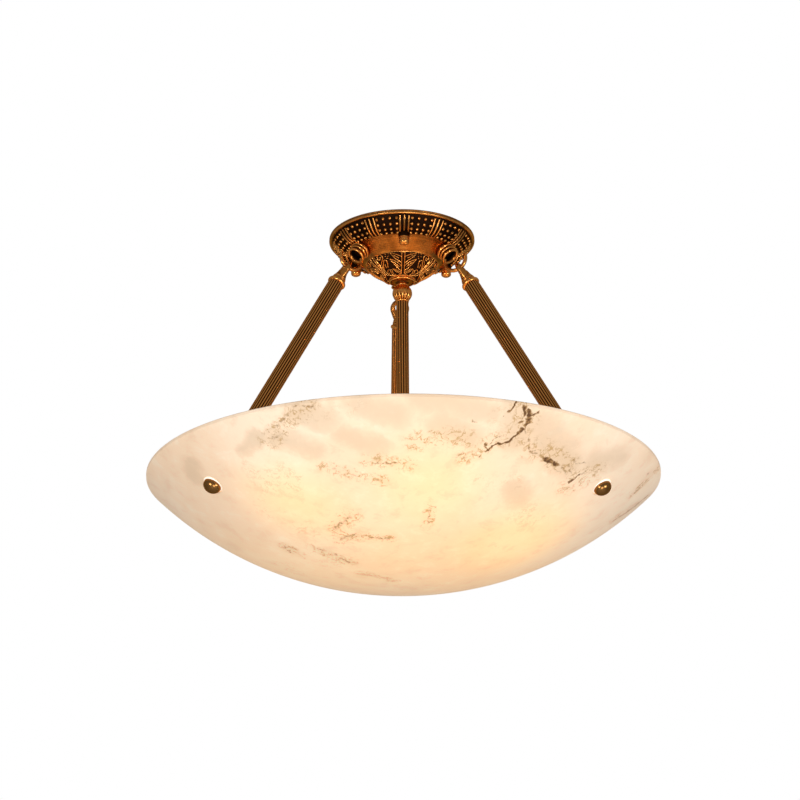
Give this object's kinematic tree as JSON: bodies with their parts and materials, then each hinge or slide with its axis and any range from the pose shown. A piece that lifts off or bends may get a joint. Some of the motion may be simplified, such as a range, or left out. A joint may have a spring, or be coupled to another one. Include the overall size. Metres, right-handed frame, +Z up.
{
  "type": "alabaster bowl ceiling light",
  "caption": "Semi-flush ceiling light: a shallow alabaster bowl hung from a cast antique brass canopy by fluted arms on hooks, with a fluted centre stem.",
  "frame": {"origin": "on the ceiling plane at the centre of the mounting plate, midway between its two ceiling-box screw holes", "axes": "+Z up through the ceiling, -Y the front, +X to the viewer's right"},
  "size_m": [0.5, 0.5, 0.363],
  "materials": {
    "antique_brass": "cast antique brass, dark patina in the recesses and rubbed highlights",
    "zinc_steel": "zinc plated",
    "contact_brass": "plain bright",
    "alabaster": "polished translucent alabaster with brown and grey veins",
    "frosted_glass": "frosted inside",
    "bulb_cap_metal": "rolled thread",
    "white_ceramic": "glazed",
    "white_plastic": "matt",
    "brown_insulation": "wire insulation",
    "blue_insulation": "wire insulation",
    "green_insulation": "wire insulation",
    "black_rubber": "matt",
    "clear_plastic": "milky translucent"
  },
  "bodies": {
    "ceiling_group": {"canopy": "antique_brass", "acanthus_cup": "antique_brass", "finial_disc": "antique_brass", "melon_ball": "antique_brass", "stem_ring": "antique_brass", "centre_stem": "antique_brass", "bracket_left": "antique_brass", "bracket_right": "antique_brass", "bracket_rear": "antique_brass", "lamp_hub": "antique_brass", "hub_cover": "antique_brass", "lamp_arm_front": "antique_brass", "lamp_arm_right": "antique_brass", "lamp_arm_left": "antique_brass", "mounting_plate": "zinc_steel", "canopy_studs": "zinc_steel", "nipple": "zinc_steel", "nipple_locknuts": "zinc_steel", "bracket_screws": "zinc_steel", "bracket_nuts": "zinc_steel", "terminal_block": "white_plastic", "earth_screw": "contact_brass", "live_lead": "brown_insulation", "neutral_lead": "blue_insulation", "earth_lead": "green_insulation", "lampholder_front": "white_ceramic", "lampholder_right": "white_ceramic", "lampholder_left": "white_ceramic", "lampholder_contacts": "contact_brass"},
    "bowl_group": {"arm_eye_left": "antique_brass", "arm_eye_right": "antique_brass", "arm_eye_rear": "antique_brass", "arm_collars": "antique_brass", "arm_tube_left": "antique_brass", "arm_tube_right": "antique_brass", "arm_tube_rear": "antique_brass", "tie_rods": "zinc_steel", "arm_feet": "antique_brass", "alabaster_bowl": "alabaster", "inner_washers": "black_rubber"},
    "bulb_front": {"bulb_cap_front": "bulb_cap_metal", "bulb_glass_front": "frosted_glass"},
    "bulb_right": {"bulb_cap_right": "bulb_cap_metal", "bulb_glass_right": "frosted_glass"},
    "bulb_left": {"bulb_cap_left": "bulb_cap_metal", "bulb_glass_left": "frosted_glass"},
    "canopy_washer_front": {"canopy_washer_front": "antique_brass"},
    "canopy_nut_front": {"canopy_nut_front": "antique_brass"},
    "canopy_washer_left": {"canopy_washer_left": "antique_brass"},
    "canopy_nut_left": {"canopy_nut_left": "antique_brass"},
    "canopy_washer_right": {"canopy_washer_right": "antique_brass"},
    "canopy_nut_right": {"canopy_nut_right": "antique_brass"},
    "bowl_washer_left": {"bowl_washer_left": "clear_plastic"},
    "bowl_nut_left": {"bowl_nut_left": "antique_brass"},
    "bowl_washer_right": {"bowl_washer_right": "clear_plastic"},
    "bowl_nut_right": {"bowl_nut_right": "antique_brass"},
    "bowl_washer_rear": {"bowl_washer_rear": "clear_plastic"},
    "bowl_nut_rear": {"bowl_nut_rear": "antique_brass"}
  },
  "joints": [
    {"name": "bowl_lift", "type": "slide", "parent": "ceiling_group", "child": "bowl_group", "axis": [0, 0, 1], "range_m": [0, 0.004]},
    {"name": "bulb_front_unscrew", "type": "hinge", "parent": "ceiling_group", "child": "bulb_front", "pos_m": [0, 0, -0.288], "axis": [0.0697, -0.997, 0.0349], "range_deg": [0, 1080]},
    {"name": "bulb_right_unscrew", "type": "hinge", "parent": "ceiling_group", "child": "bulb_right", "pos_m": [0, 0, -0.288], "axis": [0.8285, 0.5589, 0.0349], "range_deg": [0, 1080]},
    {"name": "bulb_left_unscrew", "type": "hinge", "parent": "ceiling_group", "child": "bulb_left", "pos_m": [0, 0, -0.288], "axis": [-0.8982, 0.4381, 0.0349], "range_deg": [0, 1080]},
    {"name": "canopy_nut_front_travel", "type": "slide", "parent": "ceiling_group", "child": "canopy_washer_front", "axis": [0, 0, -1], "range_m": [0, 0.004]},
    {"name": "canopy_nut_front_turn", "type": "hinge", "parent": "canopy_washer_front", "child": "canopy_nut_front", "pos_m": [0, -0.0535, -0.0227], "axis": [0, 0, -1], "range_deg": [0, 1801]},
    {"name": "canopy_nut_left_travel", "type": "slide", "parent": "ceiling_group", "child": "canopy_washer_left", "axis": [0, 0, -1], "range_m": [0, 0.004]},
    {"name": "canopy_nut_left_turn", "type": "hinge", "parent": "canopy_washer_left", "child": "canopy_nut_left", "pos_m": [-0.04633, 0.02675, -0.0227], "axis": [0, 0, -1], "range_deg": [0, 1801]},
    {"name": "canopy_nut_right_travel", "type": "slide", "parent": "ceiling_group", "child": "canopy_washer_right", "axis": [0, 0, -1], "range_m": [0, 0.004]},
    {"name": "canopy_nut_right_turn", "type": "hinge", "parent": "canopy_washer_right", "child": "canopy_nut_right", "pos_m": [0.04633, 0.02675, -0.0227], "axis": [0, 0, -1], "range_deg": [0, 1801]},
    {"name": "bowl_nut_left_travel", "type": "slide", "parent": "bowl_group", "child": "bowl_washer_left", "axis": [-0.4278, -0.247, -0.8695], "range_m": [0, 0.004]},
    {"name": "bowl_nut_left_turn", "type": "hinge", "parent": "bowl_washer_left", "child": "bowl_nut_left", "pos_m": [-0.06651, -0.0384, -0.0659], "axis": [-0.4278, -0.247, -0.8695], "range_deg": [0, 1441]},
    {"name": "bowl_nut_right_travel", "type": "slide", "parent": "bowl_group", "child": "bowl_washer_right", "axis": [0.4278, -0.247, -0.8695], "range_m": [0, 0.004]},
    {"name": "bowl_nut_right_turn", "type": "hinge", "parent": "bowl_washer_right", "child": "bowl_nut_right", "pos_m": [0.06651, -0.0384, -0.0659], "axis": [0.4278, -0.247, -0.8695], "range_deg": [0, 1441]},
    {"name": "bowl_nut_rear_travel", "type": "slide", "parent": "bowl_group", "child": "bowl_washer_rear", "axis": [0, 0.4939, -0.8695], "range_m": [0, 0.004]},
    {"name": "bowl_nut_rear_turn", "type": "hinge", "parent": "bowl_washer_rear", "child": "bowl_nut_rear", "pos_m": [0, 0.0768, -0.0659], "axis": [0, 0.4939, -0.8695], "range_deg": [0, 1441]}
  ],
  "couplings": [
    {"joint": "canopy_nut_front_turn", "follows": "canopy_nut_front_travel", "rad_per_m": 7854},
    {"joint": "canopy_nut_left_turn", "follows": "canopy_nut_left_travel", "rad_per_m": 7854},
    {"joint": "canopy_nut_right_turn", "follows": "canopy_nut_right_travel", "rad_per_m": 7854},
    {"joint": "bowl_nut_left_turn", "follows": "bowl_nut_left_travel", "rad_per_m": 6283.2},
    {"joint": "bowl_nut_right_turn", "follows": "bowl_nut_right_travel", "rad_per_m": 6283.2},
    {"joint": "bowl_nut_rear_turn", "follows": "bowl_nut_rear_travel", "rad_per_m": 6283.2}
  ]
}
